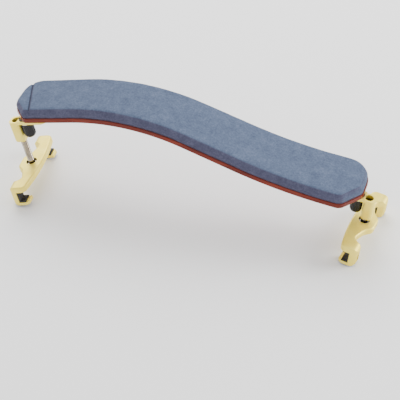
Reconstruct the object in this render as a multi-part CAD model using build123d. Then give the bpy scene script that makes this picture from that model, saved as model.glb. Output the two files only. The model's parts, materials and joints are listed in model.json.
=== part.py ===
from build123d import *
import math
import os

# Violin shoulder rest, millimetres. +X runs along the bar to its low shoulder end, +Y across the
# bar to its far long edge, +Z up from the claw tips that stand on the table.

# ---- bar: a bent wooden strip with a foam pad glued on its back --------------------------------
PAD_THICK = 5.2
GLUE_THICK = 0.3
WOOD_THICK = 3.2
CHEST_SLOPE = 14.0          # degrees the bar climbs from its chest end
MIDDLE_SLOPE = 16.4         # degrees it falls through the middle
SHOULDER_SLOPE = 5.4        # degrees it still falls at the shoulder end
CREST_START_X = -72.3       # where the chest ramp turns into the crest
CREST_START_Z = 61.57       # height of the pad's top there, above the claw tips
CREST_RUN = 72.0            # length of the crest along X
FALL_RUN = 29.0             # length of the straight fall along X
DIP_RUN = 52.5              # length of the hollow along X
BAR_REACH = 130.0           # how far the side profile is drawn before the ends are cut
PAD_MARGIN = 0.5            # the pad stops this far inside the wood's edge
PAD_CHAMFER = 2.0
WOOD_ROUND = 1.2

# plan outline of the bar: corner points (x, y) and the radius of each corner
BAR_CORNERS = [
    (-100.0, -16.3, 4.0),
    (-109.8, -4.0, 8.0),
    (-109.6, 18.6, 12.0),
    (99.3, 19.1, 13.0),
    (99.0, -5.0, 7.0),
    (89.0, -19.0, 6.0),
]

# ---- clamp fittings, in a frame on each end of the bar -----------------------------------------
# local x points outward along the bar, local z along the post, z = 0 on the wood's underside
CHEST_POST_X = -107.9
CHEST_POST_Y = -10.0
SHOULDER_POST_X = 102.1
SHOULDER_POST_Y = -0.9
STUD_X = -6.4               # clamp stud, inboard of the post
STUD_R = 1.5
INSERT_R = 2.6
INSERT_DEPTH = 2.4
WASHER_R = 3.7
TOP_WASHER_THICK = 0.4
TONGUE_THICK = 2.2
TONGUE_HALF_W = 3.6
TONGUE_ROUND = 3.4
SLOT_OUT = 9.0              # arm travel outward
SLOT_IN = 0.1               # end clearance of the slot at rest
RUNNING_GAP = 0.06
KNOB_WASHER_THICK = 0.6
KNOB_R = 3.5
KNOB_TALL = 9.6
KNOB_DOME = 2.8             # rounding of the knob's bottom
KNOB_GRIPS = 12
KNOB_INSERT_R = 2.3
KNOB_INSERT_TALL = 5.0

BRACKET_IN = 2.6            # the bracket reaches this far inboard of the post axis
BRACKET_OUT = 3.9
BRACKET_HALF_Y = 3.6
BRACKET_ROUND = 1.5
BRACKET_EDGE = 2.2
BRACKET_TOP = -1.2
BRACKET_TALL = 14.6
MOUTH_R = 2.5               # wider mouth of the bore at the bracket's top
MOUTH_DEEP = 7.0

POST_R = 2.0
THREAD_PITCH = 0.7
THREAD_DEPTH = 0.18
JOURNAL_R = 1.5
POST_TOP = -8.6             # the post's end stands this far below the wood's underside

HALF_SPAN = 27.0            # half the length of a fork
FORK_THICK = 3.6
CLAW_TALL = 12.6
CLAW_WIDE = 7.0
CLAW_LIP = 1.8
CLAW_WALL = 4.4
CLAW_OUT = 6.2              # claw's outer face, outward of the post axis
CLAW_REACH = 10.2           # depth of the hook, inward from its outer face
CLAW_CORNER = 3.6
CLAW_ROUND = 3.4
INNER_MID_X = -6.8          # inner edge of the fork beside the post
BOSS_R = 7.2
# outer edge of half a fork beside the boss: corner points (x, y) and the radius of each corner
FORK_EDGE = [
    (CLAW_OUT, 20.8, 2.0),
    (0.6, 17.0, 3.0),
    (3.2, 9.0, 8.0),
    (BOSS_R, 4.5, 4.0),
]
FORK_ROUND = 1.0
SLIT_HALF_W = 0.8           # upright groove in each claw's outer face
SLIT_DEEP = 1.8
SLIT_LOW = 3.6
SLIT_HIGH = 7.6
RUBBER_THICK = 0.8
RUBBER_REACH = 4.0          # how far the rubber lining reaches inward from the wall
RECESS_R = 3.3
RECESS_DEEP = 1.6
CLIP_R = 2.8
CLIP_THICK = 0.8
SWIVEL_WASHER_R = 2.9
SWIVEL_WASHER_THICK = 0.4


def slope_point(start, angle, length):
    """Move from a point along a slope given in degrees, positive rising with X."""
    a = math.radians(angle)
    return (start[0] + length * math.cos(a), start[1] + length * math.sin(a))


def profile_points(depth):
    """Key points of the bar's side profile, this far below the pad's top surface."""
    up = math.radians(CHEST_SLOPE)
    fall = math.radians(MIDDLE_SLOPE)
    end = math.radians(SHOULDER_SLOPE)
    crest_r = CREST_RUN / (math.sin(up) + math.sin(fall))
    dip_r = DIP_RUN / (math.sin(fall) - math.sin(end))
    crest_c = (CREST_START_X + crest_r * math.sin(up), CREST_START_Z - crest_r * math.cos(up))
    r1 = crest_r - depth
    p1 = (crest_c[0] - r1 * math.sin(up), crest_c[1] + r1 * math.cos(up))
    p2 = (crest_c[0], crest_c[1] + r1)
    p3 = (crest_c[0] + r1 * math.sin(fall), crest_c[1] + r1 * math.cos(fall))
    p4 = slope_point(p3, -MIDDLE_SLOPE, FALL_RUN / math.cos(fall))
    r2 = dip_r + depth
    dip_c = (p4[0] + r2 * math.sin(fall), p4[1] + r2 * math.cos(fall))
    mid = 0.5 * (fall + end)
    p5 = (dip_c[0] - r2 * math.sin(mid), dip_c[1] - r2 * math.cos(mid))
    p6 = (dip_c[0] - r2 * math.sin(end), dip_c[1] - r2 * math.cos(end))
    p0 = slope_point(p1, CHEST_SLOPE, (-BAR_REACH - p1[0]) / math.cos(up))
    p7 = slope_point(p6, -SHOULDER_SLOPE, (BAR_REACH - p6[0]) / math.cos(end))
    return [p0, p1, p2, p3, p4, p5, p6, p7]


def layer(top_depth, bottom_depth):
    """One bent layer of the bar between two depths, wider than the bar on every side."""
    top = profile_points(top_depth)
    low = profile_points(bottom_depth)
    with BuildPart() as part:
        with BuildSketch(Plane.XZ):
            with BuildLine():
                for p in (top, low):
                    Line(p[0], p[1])
                    ThreePointArc(p[1], p[2], p[3])
                    Line(p[3], p[4])
                    ThreePointArc(p[4], p[5], p[6])
                    Line(p[6], p[7])
                Line(top[0], low[0])
                Line(top[7], low[7])
            make_face()
        extrude(amount=40, both=True)
    return part.part


def outline_prism(margin):
    """Upright prism on the bar's plan outline, drawn in by a margin."""
    with BuildPart() as part:
        with BuildSketch():
            with BuildLine():
                Polyline(*[(x, y) for x, y, r in BAR_CORNERS], close=True)
            make_face()
            for x, y, r in BAR_CORNERS:
                corner = vertices().sort_by_distance((x, y, 0))[0]
                fillet(corner, radius=r)
            if margin > 0:
                offset(amount=-margin, kind=Kind.INTERSECTION, mode=Mode.REPLACE)
        extrude(amount=90)
    return part.part


def depth_to_z(x, depth):
    """Height of the straight chest or shoulder stretch at X, this far below the pad's top."""
    p = profile_points(depth)
    if x < p[1][0]:
        return p[1][1] + (x - p[1][0]) * math.tan(math.radians(CHEST_SLOPE))
    return p[6][1] - (x - p[6][0]) * math.tan(math.radians(SHOULDER_SLOPE))


UNDERSIDE = PAD_THICK + GLUE_THICK + WOOD_THICK


def end_plane(side):
    """Frame of one end: x outward along the bar, z up the post, on the wood's underside."""
    if side == "chest":
        a = math.radians(CHEST_SLOPE)
        origin = (CHEST_POST_X, CHEST_POST_Y, depth_to_z(CHEST_POST_X, UNDERSIDE))
        return Plane(origin=origin, x_dir=(-math.cos(a), 0, -math.sin(a)),
                     z_dir=(-math.sin(a), 0, math.cos(a)))
    a = math.radians(SHOULDER_SLOPE)
    origin = (SHOULDER_POST_X, SHOULDER_POST_Y, depth_to_z(SHOULDER_POST_X, UNDERSIDE))
    return Plane(origin=origin, x_dir=(math.cos(a), 0, -math.sin(a)),
                 z_dir=(math.sin(a), 0, math.cos(a)))


def rod(r, z0, z1, x=0.0, y=0.0):
    """Cylinder along local z between two heights."""
    return Pos(x, y, 0.5 * (z0 + z1)) * Cylinder(r, z1 - z0)


def block(x0, x1, y0, y1, z0, z1):
    """Box between two corners."""
    return Pos(0.5 * (x0 + x1), 0.5 * (y0 + y1), 0.5 * (z0 + z1)) * Box(x1 - x0, y1 - y0, z1 - z0)


STUD_TOP = INSERT_DEPTH
STUD_BOTTOM = -(TOP_WASHER_THICK + TONGUE_THICK + KNOB_WASHER_THICK + KNOB_INSERT_TALL - 0.6)
TONGUE_TOP = -TOP_WASHER_THICK
TONGUE_LOW = TONGUE_TOP - TONGUE_THICK
KNOB_TOP = TONGUE_LOW - KNOB_WASHER_THICK


def make_bar(planes):
    """Wooden bar with a blind insert hole near each end."""
    wood = layer(PAD_THICK + GLUE_THICK, UNDERSIDE) & outline_prism(0)
    low = wood.faces().filter_by(lambda f: f.normal_at().Z < -0.5)
    wood = fillet(low.edges(), WOOD_ROUND)
    for plane in planes:
        wood -= plane.location * rod(INSERT_R, -3.0, INSERT_DEPTH, x=STUD_X)
    return wood


def make_pad():
    """Foam pad with its top edge chamfered."""
    pad = layer(0, PAD_THICK) & outline_prism(PAD_MARGIN)
    top = pad.faces().filter_by(lambda f: f.normal_at().Z > 0.5)
    return chamfer(top.edges(), PAD_CHAMFER)


def make_glue():
    """Thin double-sided sheet between the wood and the foam."""
    return layer(PAD_THICK, PAD_THICK + GLUE_THICK) & outline_prism(PAD_MARGIN)


def make_insert():
    """Threaded brass insert for the stud, flush with the wood's underside."""
    return rod(INSERT_R, 0, INSERT_DEPTH, x=STUD_X) - rod(STUD_R, -1, STUD_TOP + 1, x=STUD_X)


def make_stud():
    """Steel stud standing down from the insert."""
    stud = rod(STUD_R, STUD_BOTTOM, STUD_TOP, x=STUD_X)
    return chamfer(stud.faces().sort_by(Axis.Z)[0].edges(), 0.4)


def make_washer(r, hole, z0, z1, x):
    """Flat round washer."""
    return rod(r, z0, z1, x=x) - rod(hole, z0 - 1, z1 + 1, x=x)


def make_arm():
    """Cast arm: slotted tongue under the bar and a rounded upright bracket bored for the post."""
    tongue_end = STUD_X - SLOT_OUT - STUD_R - 3.2
    root_x = 0.6 - BRACKET_IN
    tongue = block(tongue_end, root_x, -TONGUE_HALF_W, TONGUE_HALF_W, TONGUE_LOW, TONGUE_TOP)
    tongue = fillet(tongue.edges().filter_by(Axis.Z).sort_by(Axis.X)[:2], TONGUE_ROUND)
    low = BRACKET_TOP - BRACKET_TALL
    bracket = block(-BRACKET_IN, BRACKET_OUT, -BRACKET_HALF_Y, BRACKET_HALF_Y, low, BRACKET_TOP)
    bracket = fillet(bracket.edges().filter_by(Axis.Y).sort_by(Axis.Z)[:2], BRACKET_ROUND)
    arm = tongue + bracket
    upright = arm.edges().filter_by(Axis.Z).filter_by(lambda e: e.length > 6)
    arm = fillet(upright, BRACKET_EDGE)
    slot = block(STUD_X - SLOT_OUT, STUD_X + SLOT_IN, -STUD_R - RUNNING_GAP, STUD_R + RUNNING_GAP,
                 TONGUE_LOW - 1, TONGUE_TOP + 1)
    for x in (STUD_X - SLOT_OUT, STUD_X + SLOT_IN):
        slot += rod(STUD_R + RUNNING_GAP, TONGUE_LOW - 1, TONGUE_TOP + 1, x=x)
    bore = rod(POST_R + RUNNING_GAP, low - 1, BRACKET_TOP + 1)
    mouth = rod(MOUTH_R, BRACKET_TOP - MOUTH_DEEP, BRACKET_TOP + 1)
    return arm - slot - bore - mouth


def make_knob():
    """Round thumb nut with shallow finger flutes and a domed bottom."""
    low = KNOB_TOP - KNOB_TALL
    knob = rod(KNOB_R, low, KNOB_TOP)
    knob = fillet(knob.faces().sort_by(Axis.Z)[0].edges(), KNOB_DOME)
    knob = fillet(knob.faces().sort_by(Axis.Z)[-1].edges(), 0.6)
    for i in range(KNOB_GRIPS):
        a = math.radians(360 * i / KNOB_GRIPS)
        reach = KNOB_R + 0.45
        knob -= rod(0.75, low - 1, KNOB_TOP + 1, x=reach * math.cos(a), y=reach * math.sin(a))
    knob -= rod(KNOB_INSERT_R, KNOB_TOP - KNOB_INSERT_TALL, KNOB_TOP + 1)
    return Pos(STUD_X, 0, 0) * knob


def make_knob_insert():
    """Brass thread insert moulded into the knob."""
    ring = rod(KNOB_INSERT_R, KNOB_TOP - KNOB_INSERT_TALL, KNOB_TOP, x=STUD_X)
    return ring - rod(STUD_R + RUNNING_GAP, KNOB_TOP - KNOB_INSERT_TALL - 1, KNOB_TOP + 1, x=STUD_X)


def make_post(fork_top):
    """Post with ringed thread, a plain shoulder and a journal that the fork turns on."""
    thread_low = fork_top + 1.2
    turns = int((POST_TOP - 0.6 - thread_low) / THREAD_PITCH)
    root = POST_R - THREAD_DEPTH
    journal_low = fork_top - FORK_THICK + 0.1
    points = [(0, journal_low), (JOURNAL_R, journal_low)]
    shoulder = fork_top - RECESS_DEEP + SWIVEL_WASHER_THICK
    points += [(JOURNAL_R, shoulder), (POST_R, shoulder), (POST_R, thread_low)]
    for i in range(turns):
        z = thread_low + THREAD_PITCH * i
        points += [(root, z + THREAD_PITCH / 2), (POST_R, z + THREAD_PITCH)]
    points += [(root - 0.2, POST_TOP), (0, POST_TOP)]
    with BuildPart() as part:
        with BuildSketch(Plane.XZ):
            with BuildLine():
                Polyline(*points, close=True)
            make_face()
        revolve(axis=Axis.Z)
    return part.part


def fork_outline():
    """Plan of a fork: inner edge bowed inward, outer edge waved from claw to boss to claw."""
    end_x = CLAW_OUT - CLAW_REACH
    upper = [(x, y) for x, y, r in FORK_EDGE]
    lower = [(x, -y) for x, y in reversed(upper)]
    with BuildSketch() as plan:
        with BuildLine():
            Polyline((end_x, HALF_SPAN), (CLAW_OUT, HALF_SPAN), *upper, *lower,
                     (CLAW_OUT, -HALF_SPAN), (end_x, -HALF_SPAN))
            ThreePointArc((end_x, -HALF_SPAN), (INNER_MID_X, 0), (end_x, HALF_SPAN))
        make_face()
        for x, y, r in FORK_EDGE:
            for side in (-1, 1):
                corner = vertices().sort_by_distance((x, side * y, 0))[0]
                fillet(corner, radius=r)
        fillet(vertices().filter_by(lambda v: abs(v.Y) > HALF_SPAN - 0.1), radius=CLAW_CORNER)
    return plan.sketch


def make_fork(top):
    """Crescent fork with a swivel boss and a hooked claw at each end."""
    outline = fork_outline()
    prism = Pos(0, 0, top - CLAW_TALL) * extrude(outline, CLAW_TALL)
    prism = fillet(prism.faces().sort_by(Axis.Z)[-1].edges(), FORK_ROUND)
    plate = block(-12, 8, -HALF_SPAN, HALF_SPAN, top - FORK_THICK, top)
    claw_y = HALF_SPAN - CLAW_WIDE / 2
    for s in (-1, 1):
        y0 = s * claw_y - CLAW_WIDE / 2
        y1 = s * claw_y + CLAW_WIDE / 2
        hook = block(CLAW_OUT - CLAW_REACH, CLAW_OUT, y0, y1, top - CLAW_TALL, top)
        hook = fillet(hook.edges().filter_by(Axis.Y).sort_by(Axis.X)[-2:], CLAW_ROUND)
        gap = block(CLAW_OUT - CLAW_REACH - 5, CLAW_OUT - CLAW_WALL, y0 - 1, y1 + 1,
                    top - CLAW_TALL + CLAW_LIP, top - FORK_THICK)
        slit = block(CLAW_OUT - SLIT_DEEP, CLAW_OUT + 1, s * claw_y - SLIT_HALF_W,
                     s * claw_y + SLIT_HALF_W, top - CLAW_TALL + SLIT_LOW,
                     top - CLAW_TALL + SLIT_HIGH)
        over = block(CLAW_OUT - CLAW_REACH, CLAW_OUT + 5, y0, y1, top - CLAW_TALL - 1, top + 1)
        plate = (plate - over) + (hook - gap - slit)
    fork = plate & prism
    fork -= rod(RECESS_R, top - RECESS_DEEP, top + 1)
    fork -= rod(JOURNAL_R + RUNNING_GAP, top - FORK_THICK - 1, top + 1)
    fork -= rod(CLIP_R + 0.4, top - FORK_THICK - 1, top - FORK_THICK + CLIP_THICK + 0.4)
    return fork


def make_claw_pad(top, s):
    """Rubber lining of one claw, a C that opens inward."""
    claw_y = HALF_SPAN - CLAW_WIDE / 2
    y0 = s * claw_y - CLAW_WIDE / 2 + 0.3
    y1 = s * claw_y + CLAW_WIDE / 2 - 0.3
    x1 = CLAW_OUT - CLAW_WALL
    x0 = x1 - RUBBER_REACH
    z0 = top - CLAW_TALL + CLAW_LIP
    z1 = top - FORK_THICK
    pad = block(x0, x1, y0, y1, z0, z1)
    t = RUBBER_THICK
    prism = Pos(0, 0, z0) * extrude(fork_outline(), z1 - z0)
    return (pad & prism) - block(x0 - 1, x1 - t, y0 - 1, y1 + 1, z0 + t, z1 - t)


def make_clip(fork_top):
    """Snap ring under the fork that keeps it on the post."""
    z0 = fork_top - FORK_THICK + 0.3
    ring = rod(CLIP_R, z0, z0 + CLIP_THICK) - rod(JOURNAL_R + 0.5 * RUNNING_GAP, z0 - 1, z0 + 2)
    return ring - block(0, CLIP_R + 1, -0.8, 0.8, z0 - 1, z0 + 2)


def fork_depth(side):
    """Depth of the fork's top along the post, so that its claws stand on z = 0."""
    turn = Rotation(0, 0, SIDES[side]["splay"])
    fork = end_plane(side).location * turn * make_fork(0)
    lean = CHEST_SLOPE if side == "chest" else SHOULDER_SLOPE
    return -fork.bounding_box().min.Z / math.cos(math.radians(lean))


# splay: degrees each fork is turned about its post; near: sign of local y on the bar's near side
SIDES = {
    "chest": {"splay": 5.0, "near": 1},
    "shoulder": {"splay": -8.0, "near": -1},
}


def make_side(side):
    """Every loose and fixed piece at one end, placed on the bar."""
    top = fork_depth(side)
    gap = RUNNING_GAP
    washer_low = top - RECESS_DEEP
    near = SIDES[side]["near"]
    turn = Rotation(0, 0, SIDES[side]["splay"])
    pieces = {
        "stud_insert": make_insert(),
        "stud": make_stud(),
        "top_washer": make_washer(WASHER_R, STUD_R + gap, -TOP_WASHER_THICK, 0, STUD_X),
        "arm": make_arm(),
        "knob_washer": make_washer(WASHER_R - 0.3, STUD_R + gap, KNOB_TOP, TONGUE_LOW, STUD_X),
        "knob": make_knob(),
        "knob_insert": make_knob_insert(),
        "post": make_post(top),
        "swivel_washer": make_washer(SWIVEL_WASHER_R, JOURNAL_R + gap, washer_low,
                                     washer_low + SWIVEL_WASHER_THICK, 0),
        "clip": make_clip(top),
        "fork": turn * make_fork(top),
        "near_claw_pad": turn * make_claw_pad(top, near),
        "far_claw_pad": turn * make_claw_pad(top, -near),
    }
    place = end_plane(side).location
    return {side + "_" + name: place * piece for name, piece in pieces.items()}


def build():
    """All nodes of the shoulder rest, by name."""
    planes = [end_plane("chest"), end_plane("shoulder")]
    nodes = {"wooden_bar": make_bar(planes), "foam_pad": make_pad(), "pad_adhesive": make_glue()}
    for side in SIDES:
        nodes.update(make_side(side))
    return nodes


def shift_to_origin(nodes):
    """Move that brings the bottom centre of the whole rest to the origin."""
    boxes = [shape.bounding_box() for shape in nodes.values()]
    x = 0.5 * (min(b.min.X for b in boxes) + max(b.max.X for b in boxes))
    y = 0.5 * (min(b.min.Y for b in boxes) + max(b.max.Y for b in boxes))
    return Pos(-x, -y, -min(b.min.Z for b in boxes))


def main():
    os.makedirs("parts", exist_ok=True)
    nodes = build()
    shift = shift_to_origin(nodes)
    for name, shape in nodes.items():
        export_step(shift * shape, "parts/" + name + ".step")


if __name__ == "__main__":
    main()
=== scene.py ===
import json
import math

import bpy
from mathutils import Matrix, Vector, noise


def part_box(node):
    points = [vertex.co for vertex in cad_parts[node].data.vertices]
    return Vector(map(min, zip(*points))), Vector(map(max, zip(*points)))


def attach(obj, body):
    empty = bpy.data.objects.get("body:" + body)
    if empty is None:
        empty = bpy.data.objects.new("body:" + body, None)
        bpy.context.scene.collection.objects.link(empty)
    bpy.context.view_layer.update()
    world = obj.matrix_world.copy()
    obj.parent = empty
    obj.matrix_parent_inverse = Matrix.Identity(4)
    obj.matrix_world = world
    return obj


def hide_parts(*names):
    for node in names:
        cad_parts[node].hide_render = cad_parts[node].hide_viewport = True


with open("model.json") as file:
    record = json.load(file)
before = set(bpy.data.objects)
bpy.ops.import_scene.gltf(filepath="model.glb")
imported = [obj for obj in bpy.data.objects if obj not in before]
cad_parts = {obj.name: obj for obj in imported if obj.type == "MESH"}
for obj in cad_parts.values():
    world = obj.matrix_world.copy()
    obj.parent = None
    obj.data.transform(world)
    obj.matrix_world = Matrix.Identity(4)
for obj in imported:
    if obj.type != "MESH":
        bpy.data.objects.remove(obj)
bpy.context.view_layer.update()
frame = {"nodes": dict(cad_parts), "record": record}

MM = 0.001

# ---- the pad's own dimensions, in millimetres, in the bar's frame --------------------------------
PAD_THICK = 5.2
CHEST_SLOPE = math.radians(14.0)
MIDDLE_SLOPE = math.radians(16.4)
SHOULDER_SLOPE = math.radians(5.4)
CREST_START = (-72.3, 61.57)
CREST_RUN = 72.0
FALL_RUN = 29.0
DIP_RUN = 52.5
PAD_MARGIN = 0.5
BAR_CORNERS = [
    (-100.0, -16.3, 4.0),
    (-109.8, -4.0, 8.0),
    (-109.6, 18.6, 12.0),
    (99.3, 19.1, 13.0),
    (99.0, -5.0, 7.0),
    (89.0, -19.0, 6.0),
]
SPINE = ((-93.0, 1.0), (82.0, 0.5))
# edge section of the pad: (inset from the outline, height above the wood)
PAD_SECTION = [(0.0, -0.25), (-0.05, 0.3), (0.0, 2.3), (0.15, 2.8), (1.55, 4.75), (2.0, 5.1), (2.7, 5.2)]
PAD_CROWN = 0.25            # extra height along the pad's middle line
POINTS_PER_CORNER = 14
EDGE_STEP = 2.5             # spacing of the outline's points along its straight edges
TOP_RINGS = 8               # rings between the outline and the middle line
VOXEL = 0.55
CREASE = ((-96.5, -14.5), (-105.0, 11.0))   # ends of the fold across the chest end
CREASE_WIDTH = 0.60
CREASE_DEEP = 0.85
LOBE_DROP = 0.06            # fall of the end lobe per mm beyond the fold
WEIGHT_LOW = 0.8            # the fold and the lobe's fall grow in from this height above the wood
WEIGHT_RISE = 2.0
WAVES = ((0.12, 0.10), (0.5, 0.05))         # per mm, and height, of the top's slight unevenness

# ---- camera, in metres, in the bar's frame -------------------------------------------------------
CAMERA_SPOT = (0.18141, -0.55770, 0.49920)
CAMERA_TARGET = (0.0045, -0.0067, 0.0073)
CAMERA_LENS = 117.0
CAMERA_SENSOR = 36.0

FLOOR_HALF = 6.0
LIGHT_TARGET = (0, 0, 0.03)


# ---- node helpers --------------------------------------------------------------------------------
def new_material(name):
    """Empty node material and its Principled shader."""
    material = bpy.data.materials.new(name)
    material.use_nodes = True
    shader = material.node_tree.nodes["Principled BSDF"]
    return material, shader


def add(material, kind, **values):
    """Add a shader node and set its properties."""
    node = material.node_tree.nodes.new(kind)
    for key, value in values.items():
        setattr(node, key, value)
    return node


def link(material, source, target):
    """Join an output socket to an input socket."""
    material.node_tree.links.new(source, target)


def object_coordinates(material, scale=(1.0, 1.0, 1.0)):
    """Object coordinates in metres, stretched by a scale."""
    coords = add(material, "ShaderNodeTexCoord")
    mapping = add(material, "ShaderNodeMapping")
    mapping.inputs["Scale"].default_value = scale
    link(material, coords.outputs["Object"], mapping.inputs["Vector"])
    return mapping.outputs["Vector"]


def noise_texture(material, vector, scale, detail=3.0, roughness=0.5):
    """Noise on a vector."""
    texture = add(material, "ShaderNodeTexNoise")
    texture.inputs["Scale"].default_value = scale
    texture.inputs["Detail"].default_value = detail
    texture.inputs["Roughness"].default_value = roughness
    link(material, vector, texture.inputs["Vector"])
    return texture.outputs["Fac"]


def ramp(material, value, stops):
    """Colour ramp over a value."""
    node = add(material, "ShaderNodeValToRGB")
    elements = node.color_ramp.elements
    while len(elements) < len(stops):
        elements.new(0.5)
    for element, (position, colour) in zip(elements, stops):
        element.position = position
        element.color = (*colour, 1.0)
    link(material, value, node.inputs["Fac"])
    return node.outputs["Color"]


def remap(material, value, low, high):
    """Map a 0..1 value to a range."""
    node = add(material, "ShaderNodeMapRange")
    node.inputs["To Min"].default_value = low
    node.inputs["To Max"].default_value = high
    link(material, value, node.inputs["Value"])
    return node.outputs["Result"]


def bump(material, shader, height, distance, strength=1.0):
    """Bump from a height, in metres."""
    node = add(material, "ShaderNodeBump")
    node.inputs["Distance"].default_value = distance
    node.inputs["Strength"].default_value = strength
    link(material, height, node.inputs["Height"])
    link(material, node.outputs["Normal"], shader.inputs["Normal"])


def blend(material, factor, first, second):
    """Mix two colours by a factor."""
    node = add(material, "ShaderNodeMix", data_type="RGBA")
    link(material, factor, node.inputs[0])
    link(material, first, node.inputs[6])
    link(material, second, node.inputs[7])
    return node.outputs[2]


def facing(material, axis, low, high):
    """1 on faces that look along one of the object's own axes, 0 on the others."""
    coords = add(material, "ShaderNodeTexCoord")
    split = add(material, "ShaderNodeSeparateXYZ")
    link(material, coords.outputs["Normal"], split.inputs["Vector"])
    node = add(material, "ShaderNodeMapRange", interpolation_type="SMOOTHSTEP")
    node.inputs["From Min"].default_value = low
    node.inputs["From Max"].default_value = high
    link(material, split.outputs[axis], node.inputs["Value"])
    return node.outputs["Result"]


def fold_shade(material, place):
    """Painted shade mask: 1 along the pad's fold line, fading to 0 beside it."""
    a = Vector((CREASE[0][0] * MM, CREASE[0][1] * MM, 0)) + place
    b = Vector((CREASE[1][0] * MM, CREASE[1][1] * MM, 0)) + place
    along = (b - a).normalized()
    across = Vector((-along.y, along.x, 0))
    coords = add(material, "ShaderNodeTexCoord")
    offset = add(material, "ShaderNodeVectorMath", operation="SUBTRACT")
    offset.inputs[1].default_value = a
    link(material, coords.outputs["Object"], offset.inputs[0])
    distance = add(material, "ShaderNodeVectorMath", operation="DOT_PRODUCT")
    distance.inputs[1].default_value = across
    link(material, offset.outputs["Vector"], distance.inputs[0])
    size = add(material, "ShaderNodeMath", operation="ABSOLUTE")
    link(material, distance.outputs["Value"], size.inputs[0])
    node = add(material, "ShaderNodeMapRange", interpolation_type="SMOOTHSTEP")
    node.inputs["From Min"].default_value = 0.25 * CREASE_WIDTH * MM
    node.inputs["From Max"].default_value = 1.4 * CREASE_WIDTH * MM
    node.inputs["To Min"].default_value = 1.0
    node.inputs["To Max"].default_value = 0.0
    link(material, size.outputs["Value"], node.inputs["Value"])
    return node.outputs["Result"]


def foam_material(place):
    """Fine suede-like foam: blue-grey speckled nap, with painted shade on its sides and along its fold,
    and painted light on its end that faces +x.
    """
    material, shader = new_material("foam")
    where = object_coordinates(material)
    patches = noise_texture(material, where, 170.0, 3.0, 0.6)
    speckle = noise_texture(material, where, 900.0, 4.0, 0.7)
    grain = noise_texture(material, where, 2600.0, 3.0, 0.6)
    mixed = add(material, "ShaderNodeMix", data_type="FLOAT")
    mixed.inputs[0].default_value = 0.65
    link(material, patches, mixed.inputs[2])
    link(material, speckle, mixed.inputs[3])
    top = ramp(material, mixed.outputs[0], [
        (0.32, (0.050, 0.067, 0.112)),
        (0.50, (0.078, 0.103, 0.164)),
        (0.68, (0.116, 0.146, 0.220)),
    ])
    # Painted shade: the pad's sides take a darker, more violet copy of the top's colour.
    shaded_side = ramp(material, mixed.outputs[0], [
        (0.32, (0.050, 0.050, 0.084)),
        (0.50, (0.072, 0.073, 0.120)),
        (0.68, (0.100, 0.102, 0.160)),
    ])
    # Painted shade: a much darker colour laid along the fold line.
    fold = ramp(material, mixed.outputs[0], [
        (0.32, (0.022, 0.026, 0.045)),
        (0.68, (0.045, 0.052, 0.080)),
    ])
    # Painted light: sides that face +x, towards the right-hand lamp, take the top's lighter colour.
    shaded_side = blend(material, facing(material, "X", 0.60, 0.92), shaded_side, top)
    fold_shaded_top = blend(material, fold_shade(material, place), top, fold)
    # Faces that look up keep the top's colour; the other faces take the painted side shade.
    colour = blend(material, facing(material, "Z", 0.70, 0.88), shaded_side, fold_shaded_top)
    link(material, colour, shader.inputs["Base Color"])
    shader.inputs["Roughness"].default_value = 0.95
    shader.inputs["Specular IOR Level"].default_value = 0.08
    shader.inputs["Sheen Weight"].default_value = 0.04
    shader.inputs["Sheen Roughness"].default_value = 0.5
    bump(material, shader, grain, 0.0003, 0.5)
    return material


def wood_material():
    """Red-brown varnish over straight grain that follows the bar."""
    material, shader = new_material("varnished_wood")
    long_grain = object_coordinates(material, scale=(60.0, 900.0, 900.0))
    broad = object_coordinates(material, scale=(12.0, 90.0, 140.0))
    fine = noise_texture(material, long_grain, 1.0, 4.0, 0.6)
    bands = noise_texture(material, broad, 1.0, 2.0, 0.5)
    mixed = add(material, "ShaderNodeMix", data_type="FLOAT")
    mixed.inputs[0].default_value = 0.5
    link(material, fine, mixed.inputs[2])
    link(material, bands, mixed.inputs[3])
    colour = ramp(material, mixed.outputs[0], [
        (0.30, (0.060, 0.006, 0.003)),
        (0.50, (0.140, 0.015, 0.006)),
        (0.72, (0.250, 0.036, 0.014)),
    ])
    link(material, colour, shader.inputs["Base Color"])
    link(material, remap(material, fine, 0.25, 0.42), shader.inputs["Roughness"])
    shader.inputs["Specular IOR Level"].default_value = 0.12
    shader.inputs["Coat Weight"].default_value = 0.15
    shader.inputs["Coat Roughness"].default_value = 0.10
    bump(material, shader, fine, 0.00006, 0.4)
    return material


def recess_shade_mask(material, distance):
    """Painted shade mask from ambient occlusion: 1 deep inside narrow holes and gaps, 0 on open
    surfaces.
    """
    node = add(material, "ShaderNodeAmbientOcclusion", samples=16)
    node.inputs["Distance"].default_value = distance
    shade = add(material, "ShaderNodeMapRange", interpolation_type="SMOOTHSTEP")
    shade.inputs["From Min"].default_value = 0.10
    shade.inputs["From Max"].default_value = 0.42
    shade.inputs["To Min"].default_value = 1.0
    shade.inputs["To Max"].default_value = 0.0
    link(material, node.outputs["AO"], shade.inputs["Value"])
    return shade.outputs["Result"]


def metal_material(name, dark, light, rough_low, rough_high, grain_scale, bump_mm, metallic=1.0):
    """Metal with a slightly uneven polish and painted shade inside its holes and gaps."""
    material, shader = new_material(name)
    where = object_coordinates(material)
    broad = noise_texture(material, where, 180.0, 3.0, 0.5)
    grain = noise_texture(material, where, grain_scale, 3.0, 0.6)
    open_colour = ramp(material, broad, [(0.3, dark), (0.7, light)])
    # Painted shade: a near-black colour for holes and gaps, laid on through the ambient-occlusion mask.
    painted_hole_shade = ramp(material, grain, [(0.3, (0.015, 0.012, 0.008)), (0.7, (0.04, 0.03, 0.015))])
    colour = blend(material, recess_shade_mask(material, 0.006), open_colour, painted_hole_shade)
    link(material, colour, shader.inputs["Base Color"])
    link(material, remap(material, grain, rough_low, rough_high), shader.inputs["Roughness"])
    shader.inputs["Metallic"].default_value = metallic
    bump(material, shader, grain, bump_mm * MM, 0.5)
    return material


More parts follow.
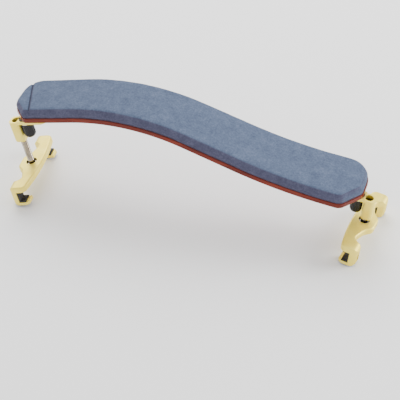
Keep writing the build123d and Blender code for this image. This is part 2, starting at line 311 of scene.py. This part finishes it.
def plain_material(name, dark, light, rough_low, rough_high, grain_scale, bump_mm, shine=0.5):
    """Moulded plastic, fibre or rubber with a fine surface grain."""
    material, shader = new_material(name)
    where = object_coordinates(material)
    broad = noise_texture(material, where, 300.0, 3.0, 0.5)
    grain = noise_texture(material, where, grain_scale, 3.0, 0.6)
    link(material, ramp(material, broad, [(0.3, dark), (0.7, light)]), shader.inputs["Base Color"])
    link(material, remap(material, grain, rough_low, rough_high), shader.inputs["Roughness"])
    shader.inputs["Specular IOR Level"].default_value = shine
    bump(material, shader, grain, bump_mm * MM, 0.5)
    return material


# ---- the foam pad --------------------------------------------------------------------------------
def pad_top(x):
    """Height of the pad's top at x, in the bar's frame."""
    crest_r = CREST_RUN / (math.sin(CHEST_SLOPE) + math.sin(MIDDLE_SLOPE))
    dip_r = DIP_RUN / (math.sin(MIDDLE_SLOPE) - math.sin(SHOULDER_SLOPE))
    x1, z1 = CREST_START
    if x < x1:
        return z1 + (x - x1) * math.tan(CHEST_SLOPE)
    crest_x = x1 + crest_r * math.sin(CHEST_SLOPE)
    crest_z = z1 - crest_r * math.cos(CHEST_SLOPE)
    x2 = x1 + CREST_RUN
    z2 = crest_z + crest_r * math.cos(MIDDLE_SLOPE)
    if x < x2:
        return crest_z + math.sqrt(crest_r ** 2 - (x - crest_x) ** 2)
    x3 = x2 + FALL_RUN
    z3 = z2 - FALL_RUN * math.tan(MIDDLE_SLOPE)
    if x < x3:
        return z2 - (x - x2) * math.tan(MIDDLE_SLOPE)
    dip_x = x3 + dip_r * math.sin(MIDDLE_SLOPE)
    dip_z = z3 + dip_r * math.cos(MIDDLE_SLOPE)
    x4 = x3 + DIP_RUN
    if x < x4:
        return dip_z - math.sqrt(dip_r ** 2 - (x - dip_x) ** 2)
    z4 = dip_z - dip_r * math.cos(SHOULDER_SLOPE)
    return z4 - (x - x4) * math.tan(SHOULDER_SLOPE)


def slope_at(x):
    """Slope angle of the pad's top at x."""
    return math.atan2(pad_top(x + 0.5) - pad_top(x - 0.5), 1.0)


def inset_corners(inset):
    """The outline's corners moved inward by an inset."""
    count = len(BAR_CORNERS)
    lines = []
    for i in range(count):
        a = Vector(BAR_CORNERS[i][:2])
        b = Vector(BAR_CORNERS[(i + 1) % count][:2])
        along = (b - a).normalized()
        inward = Vector((along.y, -along.x))
        lines.append((a + inward * inset, along))
    corners = []
    for i in range(count):
        p, d = lines[i - 1]
        q, e = lines[i]
        t = (q - p).cross(e) / d.cross(e)
        corners.append(p + d * t)
    return corners


def outline(inset):
    """Closed outline at an inset, with the same number of points at every inset."""
    corners = inset_corners(inset)
    full = [Vector(c[:2]) for c in BAR_CORNERS]
    count = len(corners)
    points = []
    for i in range(count):
        before = (corners[i - 1] - corners[i]).normalized()
        after = (corners[(i + 1) % count] - corners[i]).normalized()
        radius = max(BAR_CORNERS[i][2] - inset, 0.8)
        half = before.angle(after) / 2
        reach = radius / math.tan(half)
        start = corners[i] + before * reach
        middle = corners[i] + (before + after).normalized() * (radius / math.sin(half))
        first = start - middle
        turn = math.pi - 2 * half
        for k in range(POINTS_PER_CORNER):
            a = -turn * k / (POINTS_PER_CORNER - 1)
            points.append(middle + Vector((first.x * math.cos(a) - first.y * math.sin(a),
                                           first.x * math.sin(a) + first.y * math.cos(a))))
        steps = max(2, int((full[(i + 1) % count] - full[i]).length / EDGE_STEP))
        last = points[-1]
        next_radius = max(BAR_CORNERS[(i + 1) % count][2] - inset, 0.8)
        far_in = (corners[i] - corners[(i + 1) % count]).normalized()
        far_out = (corners[(i + 2) % count] - corners[(i + 1) % count]).normalized()
        far = corners[(i + 1) % count] + far_in * (next_radius / math.tan(far_in.angle(far_out) / 2))
        for k in range(1, steps):
            points.append(last.lerp(far, k / steps))
    return points


def spine_point(p):
    """Nearest point of the pad's middle line."""
    a, b = Vector(SPINE[0]), Vector(SPINE[1])
    t = max(0.0, min(1.0, (p - a).dot(b - a) / (b - a).length_squared))
    return a.lerp(b, t)


def lift(p, height, place):
    """Point of the pad at a plan position and a height above the wood."""
    slope = slope_at(p.x)
    low = pad_top(p.x) - PAD_THICK / math.cos(slope)
    return Vector(((p.x - math.sin(slope) * height) * MM, p.y * MM,
                   (low + math.cos(slope) * height) * MM)) + place


def pad_shell(place):
    """Closed coarse shell of the pad, ready for remeshing."""
    rings = [(outline(PAD_MARGIN + inset), height) for inset, height in PAD_SECTION]
    inner = rings[-1][0]
    for k in range(1, TOP_RINGS + 1):
        t = 1 - k / TOP_RINGS
        crown = PAD_SECTION[-1][1] + PAD_CROWN * (1 - t * t)
        rings.append(([spine_point(p).lerp(p, t) for p in inner], crown))
    base = rings[0][0]
    under = []
    for k in range(TOP_RINGS, 0, -1):
        t = 1 - k / TOP_RINGS
        under.append(([spine_point(p).lerp(p, t) for p in base], PAD_SECTION[0][1]))
    rings = under + rings
    verts = [lift(p, height, place) for ring, height in rings for p in ring]
    count = len(base)
    faces = []
    for r in range(len(rings) - 1):
        for i in range(count):
            j = (i + 1) % count
            faces.append((r * count + i, r * count + j, (r + 1) * count + j, (r + 1) * count + i))
    mesh = bpy.data.meshes.new("foam_pad_shell")
    mesh.from_pydata([tuple(v) for v in verts], [], faces)
    return mesh


def applied(obj):
    """Mesh of an object with its modifiers applied."""
    graph = bpy.context.evaluated_depsgraph_get()
    return bpy.data.meshes.new_from_object(obj.evaluated_get(graph))


def shape_pad(mesh, place):
    """Press the fold into the pad, let its end lobe fall, and roughen it slightly."""
    a, b = Vector(CREASE[0]), Vector(CREASE[1])
    along = (b - a).normalized()
    outward = Vector((-along.y, along.x))
    count = len(mesh.vertices)
    places = [0.0] * (3 * count)
    normals = [0.0] * (3 * count)
    mesh.vertices.foreach_get("co", places)
    mesh.vertex_normals.foreach_get("vector", normals)
    for i in range(0, 3 * count, 3):
        co = Vector(places[i:i + 3])
        normal = Vector(normals[i:i + 3])
        p = (co - place) / MM
        beyond = (Vector((p.x, p.y)) - a).dot(outward)
        height = p.z - (pad_top(p.x) - PAD_THICK)
        weight = max(0.0, min(1.0, (height - WEIGHT_LOW) / WEIGHT_RISE))
        fold = CREASE_DEEP * math.exp(-(beyond / CREASE_WIDTH) ** 2)
        drop = weight * (fold + LOBE_DROP * max(0.0, beyond))
        wave = sum(size * noise.noise(p * rate) for rate, size in WAVES)
        co += normal * (wave * MM * max(0.0, normal.z))
        co.z -= drop * MM
        places[i:i + 3] = co
    mesh.vertices.foreach_set("co", places)
    mesh.update()


def bar_place():
    """Where the bar's own frame sits, read from the pad's box."""
    box_low, box_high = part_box("foam_pad")
    x = box_high[0] - (max(c[0] for c in BAR_CORNERS) - PAD_MARGIN) * MM
    y = box_low[1] - (min(c[1] for c in BAR_CORNERS) + PAD_MARGIN) * MM
    return Vector((x, y, 0))


def make_pad(place):
    """Foam pad: soft bevelled block with a fold across its chest end."""
    obj = bpy.data.objects.new("foam_pad_soft", pad_shell(place))
    bpy.context.scene.collection.objects.link(obj)
    remesh = obj.modifiers.new("remesh", "REMESH")
    remesh.mode = "VOXEL"
    remesh.voxel_size = VOXEL * MM
    smooth = obj.modifiers.new("smooth", "SMOOTH")
    smooth.factor = 0.5
    smooth.iterations = 2
    mesh = applied(obj)
    obj.modifiers.clear()
    shape_pad(mesh, place)
    mesh.polygons.foreach_set("use_smooth", [True] * len(mesh.polygons))
    obj.data = mesh
    obj.data.materials.append(foam_material(place))
    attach(obj, "bar")
    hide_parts("foam_pad")
    return obj


# ---- CAD nodes keep their mesh and get better materials ------------------------------------------
def dress_nodes():
    """Give every CAD node its procedural material."""
    gold = metal_material("pale_gold", (0.94, 0.75, 0.11), (0.99, 0.82, 0.17),
                          0.38, 0.48, 1400.0, 0.004, metallic=0.50)
    brass = metal_material("turned_brass", (0.66, 0.48, 0.20), (0.80, 0.62, 0.30),
                           0.22, 0.38, 2200.0, 0.006)
    steel = metal_material("turned_steel", (0.36, 0.31, 0.24), (0.60, 0.54, 0.45),
                           0.16, 0.28, 2600.0, 0.006)
    knob = plain_material("black_plastic", (0.004, 0.004, 0.004), (0.010, 0.009, 0.009),
                          0.12, 0.22, 1800.0, 0.004, shine=0.3)
    rubber = plain_material("black_rubber", (0.012, 0.012, 0.012), (0.030, 0.029, 0.028),
                            0.7, 0.9, 2400.0, 0.05)
    fibre = plain_material("dark_fibre", (0.030, 0.026, 0.022), (0.070, 0.060, 0.050),
                           0.7, 0.9, 3000.0, 0.04)
    glue = plain_material("adhesive", (0.070, 0.035, 0.050), (0.110, 0.055, 0.075),
                          0.7, 0.9, 1500.0, 0.02)
    chosen = {
        "gold_casting": gold,
        "insert_brass": brass,
        "steel": steel,
        "black_knob": knob,
        "claw_rubber": rubber,
        "fibre_washer": fibre,
        "glue_sheet": glue,
        "varnished_wood": wood_material(),
    }
    for entry in frame["record"]["subparts"]:
        material = chosen.get(entry["material_slot"])
        node = frame["nodes"][entry["node"]]
        if material is None:
            continue
        if not node.data.materials:
            node.data.materials.append(material)
        for i in range(len(node.data.materials)):
            node.data.materials[i] = material


# ---- stage ---------------------------------------------------------------------------------------
def make_floor():
    """Plain pale floor under the claws."""
    mesh = bpy.data.meshes.new("floor")
    corners = [(x * FLOOR_HALF, y * FLOOR_HALF, 0) for x, y in ((-1, -1), (1, -1), (1, 1), (-1, 1))]
    mesh.from_pydata(corners, [], [(0, 1, 2, 3)])
    floor = bpy.data.objects.new("floor", mesh)
    bpy.context.scene.collection.objects.link(floor)
    material, shader = new_material("floor")
    shader.inputs["Base Color"].default_value = (0.90, 0.90, 0.90, 1.0)
    shader.inputs["Roughness"].default_value = 0.9
    mesh.materials.append(material)


def area_light(name, position, size, power):
    """Soft square light aimed at the rest."""
    data = bpy.data.lights.new(name, "AREA")
    data.shape = "SQUARE"
    data.size = size
    data.energy = power
    light = bpy.data.objects.new(name, data)
    light.location = position
    aim = Vector(LIGHT_TARGET) - Vector(position)
    light.rotation_euler = aim.to_track_quat("-Z", "Y").to_euler()
    bpy.context.scene.collection.objects.link(light)


def make_lights():
    """Soft studio light: a bright world, a large overhead light and one from the right."""
    world = bpy.data.worlds.new("studio")
    world.use_nodes = True
    background = world.node_tree.nodes["Background"]
    background.inputs["Color"].default_value = (1.0, 1.0, 1.0, 1.0)
    background.inputs["Strength"].default_value = 1.25
    bpy.context.scene.world = world
    area_light("overhead", (-0.45, 0.70, 0.85), 0.9, 17.0)
    area_light("right", (0.95, 0.40, 0.45), 0.6, 12.0)


def make_camera(place):
    """Camera that looks at the rest from the near right, above the bar."""
    data = bpy.data.cameras.new("camera")
    data.sensor_width = CAMERA_SENSOR
    data.lens = CAMERA_LENS
    camera = bpy.data.objects.new("camera", data)
    camera.location = Vector(CAMERA_SPOT) + place
    target = Vector(CAMERA_TARGET) + place
    camera.rotation_euler = (target - camera.location).to_track_quat("-Z", "Y").to_euler()
    bpy.context.scene.collection.objects.link(camera)
    bpy.context.scene.camera = camera


place = bar_place()
make_camera(place)
make_floor()
make_lights()
dress_nodes()
make_pad(place)
